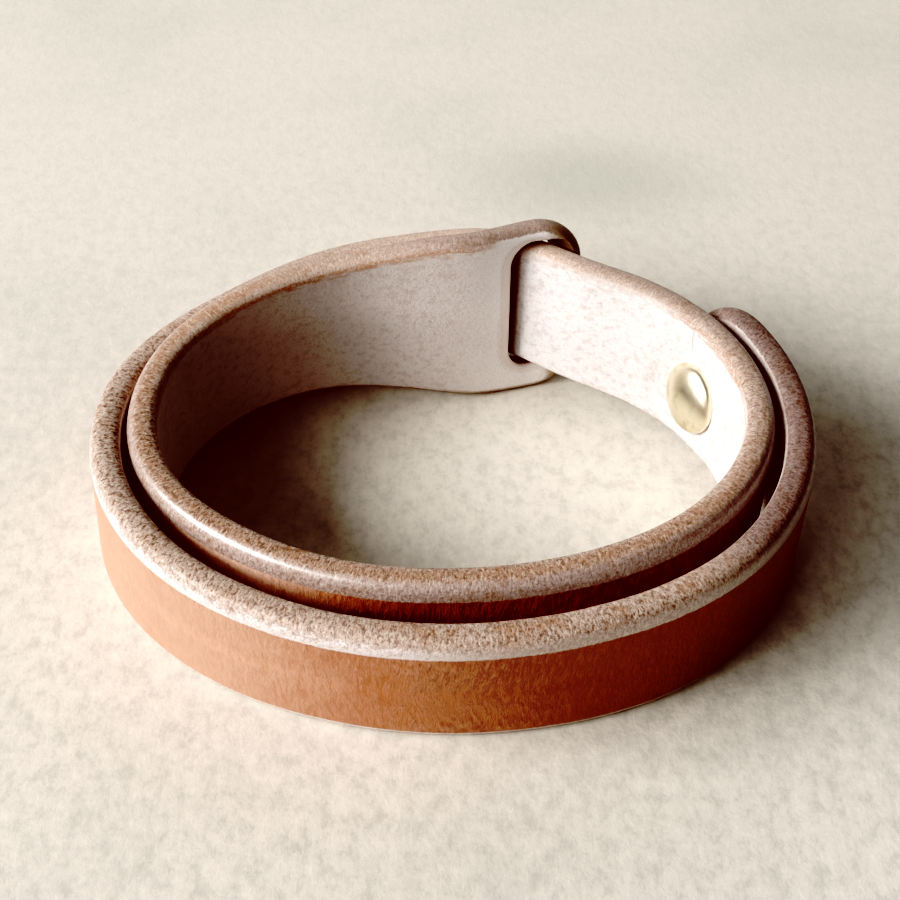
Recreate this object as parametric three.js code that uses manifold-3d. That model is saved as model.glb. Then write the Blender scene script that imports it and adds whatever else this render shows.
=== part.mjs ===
// Leather wrap bracelet: one thick strap, slotted at its wide end, wound nearly twice and snapped shut.
// Millimetres, +Z up. The bracelet lies on its edge, and the origin is under the middle of its footprint.
import * as THREE from "three";
import { mergeVertices } from "three/addons/utils/BufferGeometryUtils.js";
import Module from "manifold-3d";

const wasm = await Module();
wasm.setup();

// ---- Leather ----
const THICKNESS = 3.0;            // of the strap
const GRAIN_ROUNDING = 2.2;       // how far the burnished edge reaches down the grain side
const FLESH_ROUNDING = 1.1;       // and down the flesh side
const EDGE_SQUARENESS = 2.6;      // 2 would be a plain ellipse
const FLATTENED = 0.15;           // how far the bottom edge is pressed flat where it rests
const WIDE_CORNER = 5.0;          // corner radius of the slotted end
const FREE_CORNER = 7.0;          // corner radius of the snapped end
const SECTION_STEP = 4;           // degrees of turn between sections
const SMALLEST_EDGE = 0.003;      // slivers finer than this are merged after the cuts

// ---- Slot in the wide end ----
const SLOT_TURN = 71;             // where its middle is, in degrees of turn
const SLOT_LENGTH = 6.4;
const SLOT_HEIGHT = 16.4;
const SLOT_CORNER = 2.6;
const SLOT_ABOVE_CENTRE = 0.9;
const SLOT_SLANT = 0.6;           // its walls slant this much sideways for each length outwards
const SLOTTED_END_STOPS = 180;    // the slot cuts only the leather before this turn

// ---- Snap ----
const SNAP_TURN = 380.5;          // on the inner loop; the outer loop comes round one whole turn later
const SNAP_BELOW_CENTRE = 1.5;
const SNAP_SWING = 9;             // degrees its axis swings from square to the leather, back along the strap
const SNAP_TIP = 5;               // degrees its inner face looks upwards
const HOLE_RADIUS = 1.7;
const STEM_RADIUS = 1.4;
const CAP_RADIUS = 3.8;
const CAP_RIM = 0.45;             // height of the cap's rim
const CAP_HEIGHT = 1.3;           // height of its dome over the leather
const HEAD_RADIUS = 3.8;          // plain head on the outside
const HEAD_HEIGHT = 1.2;
const SEAT_DEPTH = 0.3;           // how deep both press into the leather
const GAP = 0.3;                  // between pieces that meet

// ---- Where the strap runs ----
// A row for each section, from the wide tip inwards round the wrist to the free end. Turn is counter-clockwise
// from +X in degrees, radius reaches the middle of the leather, rise lifts the bottom edge off the surface,
// width is the strap's height as it stands, and lean tips its top edge outwards, in degrees.
const COLUMNS = ["turn", "radius", "rise", "width", "lean"];
const STATIONS = [
  [57, 27.2, 0.4, 21.5, 1],
  [65, 26.4, 0.2, 21.5, 1],
  [73, 24.1, 0.1, 21.5, 1],
  [82, 21.7, 0.4, 21.2, 0],
  [95, 21.0, 1.1, 20.2, -1],
  [115, 22.9, 2.0, 17.6, -1],
  [140, 26.1, 2.8, 15.8, -1],
  [165, 30.0, 1.6, 15.2, -1],
  [190, 29.8, 0.0, 15, -1],
  [215, 26.1, 0.0, 15, 0],
  [240, 23.1, 0.0, 15, 0],
  [270, 21.5, 0.0, 15, 0],
  [300, 22.8, 0.2, 15, 0],
  [330, 26.8, 0.9, 15, 1],
  [355, 29.6, 2.0, 15, 1],
  [380, 28.0, 3.5, 15, 3],
  [400, 25.0, 4.4, 15, 4],
  [415, 23.6, 4.6, 15, 3],
  [428, 24.6, 4.3, 15, 3],
  [440, 26.6, 3.5, 15, 2],
  [455, 28.0, 2.1, 15, 1],
  [475, 29.8, 0.7, 15, 0],
  [500, 30.8, 0.1, 15, -1],
  [525, 33.7, 0.0, 15, -3],
  [550, 33.8, 0.0, 15, -3],
  [575, 31.3, 0.0, 15, 2],
  [600, 28.5, 0.0, 15, 6],
  [630, 27.1, 0.0, 15, 7],
  [660, 28.4, 0.0, 15, 5],
  [690, 32.0, 0.3, 15, 2],
  [715, 33.6, 1.4, 15, 0],
  [738, 32.2, 3.2, 15, 2],
  [758, 29.2, 4.6, 15, 4],
];
const CENTRE_SHIFT = { x: 0.485, y: -0.155 };   // moves the spiral's centre so that the footprint is centred
const WIDE_TIP_TURN = 59.8;
const FREE_TIP_TURN = 752;

const RADIANS = Math.PI / 180;

// The smoothest cubic curve through a column's values, with no bend at either end.
function smoothCurve(turns, values) {
  const count = turns.length;
  const bend = new Array(count).fill(0);
  const carry = new Array(count).fill(0);
  for (let i = 1; i < count - 1; i++) {
    const before = turns[i] - turns[i - 1];
    const after = turns[i + 1] - turns[i];
    const change = (values[i + 1] - values[i]) / after - (values[i] - values[i - 1]) / before;
    const pivot = 2 * (before + after) - before * carry[i - 1];
    carry[i] = after / pivot;
    bend[i] = (6 * change - before * bend[i - 1]) / pivot;
  }
  for (let i = count - 2; i > 0; i--) bend[i] -= carry[i] * bend[i + 1];
  return (turn) => {
    let i = 0;
    while (i < count - 2 && turn > turns[i + 1]) i++;
    const span = turns[i + 1] - turns[i];
    const a = (turns[i + 1] - turn) / span;
    const b = (turn - turns[i]) / span;
    return a * values[i] + b * values[i + 1]
      + ((a ** 3 - a) * bend[i] + (b ** 3 - b) * bend[i + 1]) * span * span / 6;
  };
}

const turns = STATIONS.map((row) => row[0]);
const column = Object.fromEntries(
  COLUMNS.map((name, i) => [name, smoothCurve(turns, STATIONS.map((row) => row[i]))]),
);

function centreLine(turn) {
  const angle = turn * RADIANS;
  const radius = column.radius(turn);
  return new THREE.Vector2(radius * Math.cos(angle) + CENTRE_SHIFT.x, radius * Math.sin(angle) + CENTRE_SHIFT.y);
}

// The strap's own frame at a turn: middle of the leather, outward through it, up across it and along it.
function frameAt(turn) {
  const delta = 0.05;
  const along = centreLine(turn + delta).sub(centreLine(turn - delta)).normalize();
  const flatOut = new THREE.Vector3(along.y, -along.x, 0);
  const lean = column.lean(turn) * RADIANS;
  const half = column.width(turn) / 2;
  const middle = centreLine(turn);
  const height = half * Math.cos(lean) + column.rise(turn) - FLATTENED;
  const out = flatOut.clone().multiplyScalar(Math.cos(lean)).add(new THREE.Vector3(0, 0, -Math.sin(lean)));
  const up = flatOut.clone().multiplyScalar(Math.sin(lean)).add(new THREE.Vector3(0, 0, Math.cos(lean)));
  return {
    origin: new THREE.Vector3(middle.x, middle.y, height),
    out,
    up,
    along: new THREE.Vector3(along.x, along.y, 0),
    half,
  };
}

// One section of the strap as [out, up] pairs, starting under its bottom edge and going up the grain side.
function section(half, thickness) {
  const quarters = [
    { side: 1, top: -1, reach: GRAIN_ROUNDING, pieces: 4, toEdge: false },
    { side: 1, top: 1, reach: GRAIN_ROUNDING, pieces: 4, toEdge: true },
    { side: -1, top: 1, reach: FLESH_ROUNDING, pieces: 3, toEdge: false },
    { side: -1, top: -1, reach: FLESH_ROUNDING, pieces: 3, toEdge: true },
  ];
  return quarters.flatMap(({ side, top, reach, pieces, toEdge }) => {
    const depth = Math.min(reach, half * 0.45);
    const count = toEdge ? pieces : pieces + 1;
    return Array.from({ length: count }, (_, k) => {
      const share = toEdge ? k / pieces : 1 - k / pieces;
      const out = Math.cos(share * Math.PI / 2) ** (2 / EDGE_SQUARENESS) * thickness / 2;
      const rise = Math.sin(share * Math.PI / 2) ** (2 / EDGE_SQUARENESS) * depth;
      return [share === 1 ? 0 : side * out, top * (half - depth + rise)];
    });
  });
}

function toSolid(geometry) {
  const bare = geometry.index ? geometry.clone() : geometry;
  bare.deleteAttribute("normal");
  bare.deleteAttribute("uv");
  const merged = mergeVertices(bare, 1e-5);
  const corners = Array.from(merged.index.array);
  const kept = [];
  for (let i = 0; i < corners.length; i += 3) {
    const face = corners.slice(i, i + 3);
    if (new Set(face).size === 3) kept.push(...face);
  }
  return new wasm.Manifold(new wasm.Mesh({
    numProp: 3,
    vertProperties: new Float32Array(merged.attributes.position.array),
    triVerts: new Uint32Array(kept),
  }));
}

function toGeometry(solid) {
  const mesh = solid.getMesh();
  const geometry = new THREE.BufferGeometry();
  geometry.setAttribute("position", new THREE.BufferAttribute(new Float32Array(mesh.vertProperties), 3));
  geometry.setIndex(new THREE.BufferAttribute(new Uint32Array(mesh.triVerts), 1));
  geometry.computeVertexNormals();
  return geometry;
}

// Skins a run of sections into a closed body. Each stop is a turn with its half width and thickness.
function sweep(stops) {
  const rings = stops.map((stop) => {
    const place = frameAt(stop.turn);
    return section(stop.half, stop.thickness).map(([out, up]) => place.origin.clone()
      .addScaledVector(place.out, out)
      .addScaledVector(place.up, up));
  });
  const size = rings[0].length;
  const positions = rings.flat().flatMap((point) => [point.x, point.y, point.z]);
  const faces = [];
  for (let ring = 0; ring < rings.length - 1; ring++) {
    for (let k = 0; k < size; k++) {
      const a = ring * size + k;
      const b = ring * size + (k + 1) % size;
      faces.push(a, a + size, b, b, a + size, b + size);
    }
  }
  const lastRing = (rings.length - 1) * size;
  for (let k = 1; k < size - 1; k++) {
    faces.push(0, k, k + 1);
    faces.push(lastRing, lastRing + k + 1, lastRing + k);
  }
  const geometry = new THREE.BufferGeometry();
  geometry.setAttribute("position", new THREE.Float32BufferAttribute(positions, 3));
  geometry.setIndex(faces);
  return toSolid(geometry);
}

// ---- Ends ----
function lengthPerDegree(turn) {
  return centreLine(turn + 0.5).distanceTo(centreLine(turn - 0.5));
}

// Half the strap's height at a distance back from a tip whose corners are rounded.
function corneredHalf(half, distance, radius) {
  if (distance >= radius) return half;
  return half - radius + Math.sqrt(radius ** 2 - (radius - distance) ** 2);
}

// The burnished tip thins over the last half thickness.
function tipThickness(distance) {
  const reach = THICKNESS / 2;
  if (distance >= reach) return THICKNESS;
  return THICKNESS * (0.35 + 0.65 * Math.sqrt(1 - (1 - distance / reach) ** 2));
}

// Sections from a tip to where its corners end. Direction is +1 when the strap's turn grows away from the tip.
const TIP_SHARES = [0, 0.05, 0.14, 0.28, 0.46, 0.7, 1];
const TIP_ROOM = 15;              // degrees kept for them; the plain sections start beyond
function tipStops(tipTurn, direction, corner) {
  const degreesPerLength = direction / lengthPerDegree(tipTurn + direction * 5);
  return TIP_SHARES.map((share) => {
    const distance = share * corner;
    const turn = tipTurn + distance * degreesPerLength;
    return {
      turn,
      half: corneredHalf(column.width(turn) / 2, distance, corner),
      thickness: tipThickness(distance),
    };
  });
}

function plainStops(from, to) {
  const count = Math.ceil((to - from) / SECTION_STEP);
  return Array.from({ length: count + 1 }, (_, k) => {
    const turn = from + (to - from) * k / count;
    return { turn, half: column.width(turn) / 2, thickness: THICKNESS };
  });
}

// ---- Strap ----
function basisAt(place, sideways, upright, forward) {
  return new THREE.Matrix4().makeBasis(sideways, upright, forward).setPosition(place);
}

function slotCutter() {
  const place = frameAt(SLOT_TURN);
  const halfLength = SLOT_LENGTH / 2;
  const halfHeight = SLOT_HEIGHT / 2;
  const outline = new THREE.Shape();
  outline.moveTo(-halfLength + SLOT_CORNER, -halfHeight);
  outline.lineTo(halfLength - SLOT_CORNER, -halfHeight);
  outline.absarc(halfLength - SLOT_CORNER, -halfHeight + SLOT_CORNER, SLOT_CORNER, -Math.PI / 2, 0, false);
  outline.absarc(halfLength - SLOT_CORNER, halfHeight - SLOT_CORNER, SLOT_CORNER, 0, Math.PI / 2, false);
  outline.absarc(-halfLength + SLOT_CORNER, halfHeight - SLOT_CORNER, SLOT_CORNER, Math.PI / 2, Math.PI, false);
  outline.absarc(-halfLength + SLOT_CORNER, -halfHeight + SLOT_CORNER, SLOT_CORNER, Math.PI, Math.PI * 1.5, false);
  const depth = THICKNESS * 3;
  const cutter = new THREE.ExtrudeGeometry(outline, { depth, bevelEnabled: false, curveSegments: 6 });
  cutter.translate(0, SLOT_ABOVE_CENTRE, -depth / 2);
  const slanted = place.out.clone().addScaledVector(place.along, SLOT_SLANT);
  return toSolid(cutter.applyMatrix4(basisAt(place.origin, place.along, place.up, slanted)));
}

// The snap's axis runs outwards through both loops from the middle of the inner one.
function snapFrame() {
  const place = frameAt(SNAP_TURN);
  const origin = place.origin.clone().addScaledVector(place.up, -SNAP_BELOW_CENTRE);
  const out = place.out.clone().applyAxisAngle(place.up, -SNAP_SWING * RADIANS);
  const along = place.along.clone().applyAxisAngle(place.up, -SNAP_SWING * RADIANS);
  out.applyAxisAngle(along, SNAP_TIP * RADIANS);
  const outerMiddle = frameAt(SNAP_TURN + 360);
  const reach = outerMiddle.origin.clone().sub(origin).dot(outerMiddle.out) / out.dot(outerMiddle.out);
  return { origin, out, along, reach };
}

const SNAP = snapFrame();
const INNER_FACE = -THICKNESS / 2;
const OUTER_FACE = SNAP.reach + THICKNESS / 2;

// A turned piece about the snap's axis, from [radius, distance outwards] pairs that end on the axis.
function turned(profile, segments = 32) {
  const points = profile.map(([radius, outwards]) => new THREE.Vector2(radius, outwards));
  const across = new THREE.Vector3().crossVectors(SNAP.along, SNAP.out);
  const lathe = new THREE.LatheGeometry(points, segments);
  return toSolid(lathe.applyMatrix4(basisAt(SNAP.origin, SNAP.along, SNAP.out, across)));
}

function plainDisc(radius, from, to) {
  return turned([[0, from], [radius, from], [radius, to], [0, to]]);
}

function makeStrap() {
  const slotted = sweep([
    ...tipStops(WIDE_TIP_TURN, 1, WIDE_CORNER),
    ...plainStops(WIDE_TIP_TURN + TIP_ROOM, SLOTTED_END_STOPS),
  ]).subtract(slotCutter());
  const wound = sweep([
    ...plainStops(SLOTTED_END_STOPS, FREE_TIP_TURN - TIP_ROOM),
    ...tipStops(FREE_TIP_TURN, -1, FREE_CORNER).reverse(),
  ]);
  const room = THICKNESS * 2;
  const below = new THREE.BoxGeometry(200, 200, 20).translate(0, 0, -10);
  return slotted.add(wound)
    .subtract(plainDisc(HOLE_RADIUS, INNER_FACE - room, OUTER_FACE + room))
    .subtract(plainDisc(CAP_RADIUS + GAP, INNER_FACE - room, INNER_FACE + SEAT_DEPTH))
    .subtract(plainDisc(HEAD_RADIUS + GAP, OUTER_FACE - SEAT_DEPTH, OUTER_FACE + room))
    .subtract(toSolid(below))
    .simplify(SMALLEST_EDGE);
}

// ---- Snap pieces ----
// The cap on the inner face: a rolled rim, a low dome and a stem that ends inside the inner loop.
function makeCap() {
  const under = INNER_FACE + SEAT_DEPTH - GAP;
  const top = INNER_FACE - CAP_HEIGHT;
  const domeRadius = CAP_RADIUS - 0.5;
  const dome = Array.from({ length: 6 }, (_, k) => {
    const share = k / 6;
    return [domeRadius * share, top + (CAP_HEIGHT - CAP_RIM - 0.1) * share ** 2.4];
  });
  return turned([
    ...dome,
    [domeRadius, under - CAP_RIM + 0.08],
    [CAP_RADIUS - 0.3, under - CAP_RIM],
    [CAP_RADIUS - 0.08, under - CAP_RIM + 0.1],
    [CAP_RADIUS, under - 0.2],
    [CAP_RADIUS - 0.1, under],
    [STEM_RADIUS, under],
    [STEM_RADIUS, -GAP / 2],
    [0, -GAP / 2],
  ], 48);
}

// The hidden half in one plain piece: a post through both loops and a low head on the outer face.
function makePost() {
  const under = OUTER_FACE - SEAT_DEPTH + GAP;
  const top = OUTER_FACE + HEAD_HEIGHT;
  const dome = Array.from({ length: 6 }, (_, k) => {
    const share = 1 - (k + 1) / 6;
    return [HEAD_RADIUS * share, top - (HEAD_HEIGHT - 0.4) * share ** 2.4];
  });
  return turned([
    [0, GAP / 2],
    [STEM_RADIUS, GAP / 2],
    [STEM_RADIUS, under],
    [HEAD_RADIUS, under],
    [HEAD_RADIUS, top - HEAD_HEIGHT + 0.4],
    ...dome,
  ], 48);
}

// ---- Assembly ----
function piece(name, solid, color, roughness, metalness) {
  const mesh = new THREE.Mesh(toGeometry(solid), new THREE.MeshStandardMaterial({ color, roughness, metalness }));
  mesh.name = name;
  return mesh;
}

const bracelet = new THREE.Group();
bracelet.name = "leather_wrap_bracelet";
bracelet.add(piece("leather_strap", makeStrap(), "#a8683a", 0.55, 0));
bracelet.add(piece("snap_cap", makeCap(), "#c0a468", 0.35, 1));
bracelet.add(piece("snap_post", makePost(), "#b99c60", 0.35, 1));

export default bracelet;
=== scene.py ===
import math
from functools import reduce

import bpy
import numpy as np
from bpy.props import FloatProperty, FloatVectorProperty, PointerProperty
from mathutils import Matrix, Vector, noise


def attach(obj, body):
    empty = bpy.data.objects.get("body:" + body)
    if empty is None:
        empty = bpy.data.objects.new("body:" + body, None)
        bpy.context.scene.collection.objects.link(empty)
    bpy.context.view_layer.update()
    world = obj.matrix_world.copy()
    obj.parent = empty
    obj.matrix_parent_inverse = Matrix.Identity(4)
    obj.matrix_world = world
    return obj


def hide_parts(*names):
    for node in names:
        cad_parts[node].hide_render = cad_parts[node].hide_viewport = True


bl_info = {
    "name": "Leather Wrap Bracelet",
    "version": (1, 0, 0),
    "blender": (4, 5, 0),
    "location": "View3D > Sidebar > Bracelet",
    "description": "A slotted leather strap wound nearly twice round the wrist and snapped shut",
    "category": "Add Mesh",
}

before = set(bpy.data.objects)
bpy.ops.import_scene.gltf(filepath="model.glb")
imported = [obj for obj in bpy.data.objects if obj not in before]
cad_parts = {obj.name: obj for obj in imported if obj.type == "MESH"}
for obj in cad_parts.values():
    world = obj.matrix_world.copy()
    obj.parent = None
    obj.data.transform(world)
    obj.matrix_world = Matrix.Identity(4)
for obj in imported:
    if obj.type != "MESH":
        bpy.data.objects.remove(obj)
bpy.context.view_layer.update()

MM = 0.001
HALF_LEATHER = 1.5 * MM

# Where the strap runs, with a row for each section from the wide tip inwards to the free end. Turn is
# counter-clockwise from +X in degrees, radius reaches the middle of the leather, rise lifts the lower edge
# off the table, width is the strap's height as it stands, and lean tips its upper edge outwards, in degrees.
COLUMNS = ("turn", "radius", "rise", "width", "lean")
STATIONS = (
    (57, 27.2, 0.4, 21.5, 1),
    (65, 26.4, 0.2, 21.5, 1),
    (73, 24.1, 0.1, 21.5, 1),
    (82, 21.7, 0.4, 21.2, 0),
    (95, 21.0, 1.1, 20.2, -1),
    (115, 22.9, 2.0, 17.6, -1),
    (140, 26.1, 2.8, 15.8, -1),
    (165, 30.0, 1.6, 15.2, -1),
    (190, 29.8, 0.0, 15, -1),
    (215, 26.1, 0.0, 15, 0),
    (240, 23.1, 0.0, 15, 0),
    (270, 21.5, 0.0, 15, 0),
    (300, 22.8, 0.2, 15, 0),
    (330, 26.8, 0.9, 15, 1),
    (355, 29.6, 2.0, 15, 1),
    (380, 28.0, 3.5, 15, 3),
    (400, 25.0, 4.4, 15, 4),
    (415, 23.6, 4.6, 15, 3),
    (428, 24.6, 4.3, 15, 3),
    (440, 26.6, 3.5, 15, 2),
    (455, 28.0, 2.1, 15, 1),
    (475, 29.8, 0.7, 15, 0),
    (500, 30.8, 0.1, 15, -1),
    (525, 33.7, 0.0, 15, -3),
    (550, 33.8, 0.0, 15, -3),
    (575, 31.3, 0.0, 15, 2),
    (600, 28.5, 0.0, 15, 6),
    (630, 27.1, 0.0, 15, 7),
    (660, 28.4, 0.0, 15, 5),
    (690, 32.0, 0.3, 15, 2),
    (715, 33.6, 1.4, 15, 0),
    (738, 32.2, 3.2, 15, 2),
    (758, 29.2, 4.6, 15, 4),
)
CENTRE_SHIFT = (0.485, -0.155)
WIDE_TIP_TURN = 59.8
FREE_TIP_TURN = 752
FULL_TURN = 360


def size(name, default, note, unit="LENGTH"):
    return FloatProperty(name=name, description=note, default=default, unit=unit)


def watts(name, default, note):
    return size(name, default, f"Power of the {note}, in watts", "NONE")


def tint(name, default, note):
    return FloatVectorProperty(name=name, description=note, default=default, subtype="COLOR", size=3)


class StrapSizes(bpy.types.PropertyGroup):
    thickness: size("Thickness", 3.0 * MM, "Thickness of the leather")
    grain_rounding: size("Grain rounding", 2.2 * MM, "How far the edge reaches down the grain side")
    flesh_rounding: size("Flesh rounding", 1.1 * MM, "How far it reaches down the flesh side")
    squareness: size("Edge squareness", 2.6, "2 makes the edge a plain ellipse", "NONE")
    pressed: size("Pressed flat", 0.15 * MM, "How far the lower edge is pressed flat on the table")
    wide_corner: size("Wide end corner", 5.0 * MM, "Corner radius of the slotted end")
    free_corner: size("Free end corner", 7.0 * MM, "Corner radius of the snapped end")
    step: size("Mesh step", 0.45 * MM, "Distance between sections along the strap")


class SlotSizes(bpy.types.PropertyGroup):
    turn: size("Turn", 71, "Where the slot's middle is, in degrees of turn", "NONE")
    length: size("Length", 6.4 * MM, "Length along the strap")
    height: size("Height", 16.4 * MM, "Height across the strap")
    corner: size("Corner", 2.6 * MM, "Corner radius")
    above_centre: size("Above centre", 0.9 * MM, "How far it sits above the middle of the strap")
    slant: size("Slant", 0.6, "How far its walls slant along the strap for each length out", "NONE")


class SnapSizes(bpy.types.PropertyGroup):
    turn: size("Turn", 380.5, "Where the snap is on the inner loop, in degrees of turn", "NONE")
    below_centre: size("Below centre", 1.5 * MM, "How far it sits below the middle of the strap")
    swing: size("Swing", 9, "Degrees its axis swings back along the strap from square", "NONE")
    tip: size("Tip", 5, "Degrees its inner face looks upwards", "NONE")
    hole_radius: size("Hole radius", 1.7 * MM, "Radius of the holes through the leather")
    cap_radius: size("Cap radius", 3.8 * MM, "Radius of the cap and of the outer head")
    seat_depth: size("Seat depth", 0.3 * MM, "How deep the snap presses into the leather")


class LeatherColours(bpy.types.PropertyGroup):
    grain: tint("Grain", (0.405, 0.176, 0.108), "Waxed grain side")
    # grain_pale_and_sheen gives the grain's real paler patches and mottle, and also a painted sheen on the
    # outer loop's grain at the front left.
    grain_pale_and_sheen: tint("Grain, pale", (0.57, 0.345, 0.255), "Paler patches of the grain side")
    # Painted light: this tint lightens the inner loop's grain at the front left, seen between the two loops.
    grain_painted_light: tint("Grain, bare", (0.90, 0.62, 0.50), "Grain side of the inner loop where the dye is thin")
    grain_deep: tint("Grain, deep", (0.34, 0.125, 0.062), "Pores and deeper patches of the grain side")
    # Painted shade: this tint darkens the grain on the sides turned from the light, as well as in the real
    # dye streaks.
    grain_painted_shade: tint("Grain, dyed", (0.21, 0.060, 0.034), "Grain side where the dye lies thickest")
    edge: tint("Edge", (0.56, 0.425, 0.360), "Burnished edge")
    edge_smooth: tint("Edge, smooth", (0.50, 0.385, 0.350), "Its shoulder towards the grain side")
    # Painted highlight: this near-white tint is laid on the outer loop's shoulder at the front left.
    edge_painted_highlight: tint("Edge, polished", (0.98, 0.88, 0.89), "Worn bright shoulder at the front")
    edge_pale: tint("Edge, pale", (0.74, 0.63, 0.555), "Pale fibres in the edge")
    edge_fleck: tint("Edge fleck", (0.18, 0.098, 0.068), "Dark fibres in the edge")
    edge_tan: tint("Edge, tan", (0.38, 0.195, 0.115), "Where the dye has run into the edge")
    # Painted shade: this tint darkens the edge where it is turned from the light.
    edge_painted_shade: tint("Edge, handled", (0.50, 0.47, 0.50), "How much light is left where it is handled")
    flesh: tint("Flesh", (0.79, 0.745, 0.735), "Rough flesh side")
    # This tint gives the nap's darker mottle, and also painted shade in the crease above the snap.
    flesh_deep_and_crease_shade: tint("Flesh, deep", (0.50, 0.42, 0.40), "Hollows of the flesh side")
    # Painted shade: this tint darkens the inner loop's flesh side from its back round the left to its front.
    flesh_painted_shade: tint("Flesh, dyed", (0.42, 0.30, 0.25), "Flesh side where it is browner")
    # Painted light: this near-white tint lightens the wide end's flesh side near the slot.
    flesh_painted_light: tint("Flesh, fresh", (0.98, 0.94, 0.93), "Flesh side where it is unworn")
    stain: tint("Stain", (0.40, 0.205, 0.115), "Dye run down from the edge on the flesh side")
    # Painted shade: this tint darkens the slot's walls and the strap's flesh side just past the slot.
    slot_painted_shade: tint("Slot wall", (0.20, 0.065, 0.030), "Painted walls of the slot")
    # Painted shade: this tint darkens the edge of the wide end's tip and along its lower edge.
    tip: tint("Tip", (0.37, 0.27, 0.20), "Painted tip of the wide end")


class BrassColours(bpy.types.PropertyGroup):
    face: tint("Brass", (0.95, 0.87, 0.69), "Worn brass")
    tarnish: tint("Tarnish", (0.42, 0.34, 0.18), "Dull brass near the rim")


class StageSettings(bpy.types.PropertyGroup):
    floor: tint("Floor", (0.79, 0.735, 0.655), "Plain pale floor")
    floor_dim: tint("Floor, dim", (0.69, 0.65, 0.585), "Softly mottled floor")
    key_power: watts("Key light", 18.0, "window light")
    side_power: watts("Side light", 13.0, "window's near half")
    front_power: watts("Front light", 5.0, "light from the front left")
    low_power: watts("Low light", 3.7, "low strip that shines along the shoulder")
    upper_power: watts("Upper light", 1.0, "narrow light above the window")
    far_power: watts("Far light", 3.2, "soft light from the back left")
    back_power: watts("Back light", 3.2, "low light from behind")
    sky: size("Sky", 0.048, "Strength of the surrounding light", "NONE")


SETTINGS = {
    "bracelet_strap": StrapSizes,
    "bracelet_slot": SlotSizes,
    "bracelet_snap": SnapSizes,
    "bracelet_leather": LeatherColours,
    "bracelet_brass": BrassColours,
    "bracelet_stage": StageSettings,
}


# ---- The strap's path ----
class Course:
    """The smoothest cubic curve through one column of the stations, with no bend at either end."""

    def __init__(self, turns, values):
        self.turns = np.array(turns, float)
        self.values = np.array(values, float)
        gaps = np.diff(self.turns)
        slopes = np.diff(self.values) / gaps
        count = len(turns)
        sums = np.eye(count)
        changes = np.zeros(count)
        for i in range(1, count - 1):
            sums[i, i - 1 : i + 2] = gaps[i - 1], 2 * (gaps[i - 1] + gaps[i]), gaps[i]
            changes[i] = 6 * (slopes[i] - slopes[i - 1])
        self.bends = np.linalg.solve(sums, changes)

    def __call__(self, turn):
        i = np.clip(np.searchsorted(self.turns, turn) - 1, 0, len(self.turns) - 2)
        gap = self.turns[i + 1] - self.turns[i]
        a = (self.turns[i + 1] - turn) / gap
        b = 1 - a
        bent = (a**3 - a) * self.bends[i] + (b**3 - b) * self.bends[i + 1]
        return a * self.values[i] + b * self.values[i + 1] + bent * gap**2 / 6


class StrapPath:
    """Takes places on the flat strap to places on the wound one. Lengths are metres."""

    def __init__(self, sizes):
        columns = dict(zip(COLUMNS, zip(*STATIONS)))
        turns = columns.pop("turn")
        self.course = {name: Course(turns, values) for name, values in columns.items()}
        self.pressed = sizes.pressed
        self.turns = np.linspace(WIDE_TIP_TURN, FREE_TIP_TURN, 14001)
        line = self.middle(self.turns)
        steps = np.hypot(*np.diff(line, axis=0).T)
        self.lengths = np.concatenate([[0], np.cumsum(steps)])
        self.length = float(self.lengths[-1])

    def middle(self, turn):
        angle = np.radians(turn)
        radius = self.course["radius"](turn)
        x = radius * np.cos(angle) + CENTRE_SHIFT[0]
        y = radius * np.sin(angle) + CENTRE_SHIFT[1]
        return np.stack([x, y], axis=-1) * MM

    def turn_at(self, length):
        return np.interp(length, self.lengths, self.turns)

    def length_at(self, turn):
        return float(np.interp(turn, self.turns, self.lengths))

    def half(self, length):
        return self.course["width"](self.turn_at(length)) / 2 * MM

    def frames(self, length):
        """The middle of the leather, and the ways out through it, up across it and along it."""
        turn = self.turn_at(np.asarray(length, float))
        ahead = self.middle(turn + 0.05) - self.middle(turn - 0.05)
        ahead /= np.linalg.norm(ahead, axis=-1, keepdims=True)
        zero = np.zeros(ahead.shape[:-1])
        lean = np.radians(self.course["lean"](turn))
        tipped, upright = np.sin(lean), np.cos(lean)
        x, y = ahead[..., 1], -ahead[..., 0]
        out = np.stack([x * upright, y * upright, -tipped], axis=-1)
        up = np.stack([x * tipped, y * tipped, upright], axis=-1)
        along = np.stack([ahead[..., 0], ahead[..., 1], zero], axis=-1)
        line = self.middle(turn)
        half = self.course["width"](turn) / 2 * MM
        height = half * upright + self.course["rise"](turn) * MM - self.pressed
        middle = np.stack([line[..., 0], line[..., 1], height], axis=-1)
        return middle, out, up, along

    def place(self, flat):
        """Winds flat places, an array of (length, across, outwards), into the bracelet's form."""
        middle, out, up, _ = self.frames(flat[:, 0])
        wound = middle + up * flat[:, 1:2] + out * flat[:, 2:3]
        wound[:, 2] = np.maximum(wound[:, 2], 0)
        return wound


# ---- The flat strap ----
# Distances in from the rim at which each section has its points, for a strap 15 mm wide.
RIM_STEPS = (
    0, 0.03, 0.1, 0.22, 0.38, 0.58, 0.82, 1.1, 1.4, 1.7,
    2.05, 2.5, 3.0, 3.6, 4.2, 4.8, 5.4, 6.1, 6.8, 7.5,
)


def ahead_stops(length, wide_corner, free_corner, step):
    """How far along the sections stand: close together at both rounded ends, evenly between."""
    wide_end = [k * MM for k in RIM_STEPS if k * MM < wide_corner]
    free_end = [length - k * MM for k in reversed(RIM_STEPS) if k * MM < free_corner]
    count = round((length - wide_corner - free_corner) / step)
    between = np.linspace(wide_corner, length - free_corner, count)
    return np.concatenate([wide_end, between, free_end])


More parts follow.
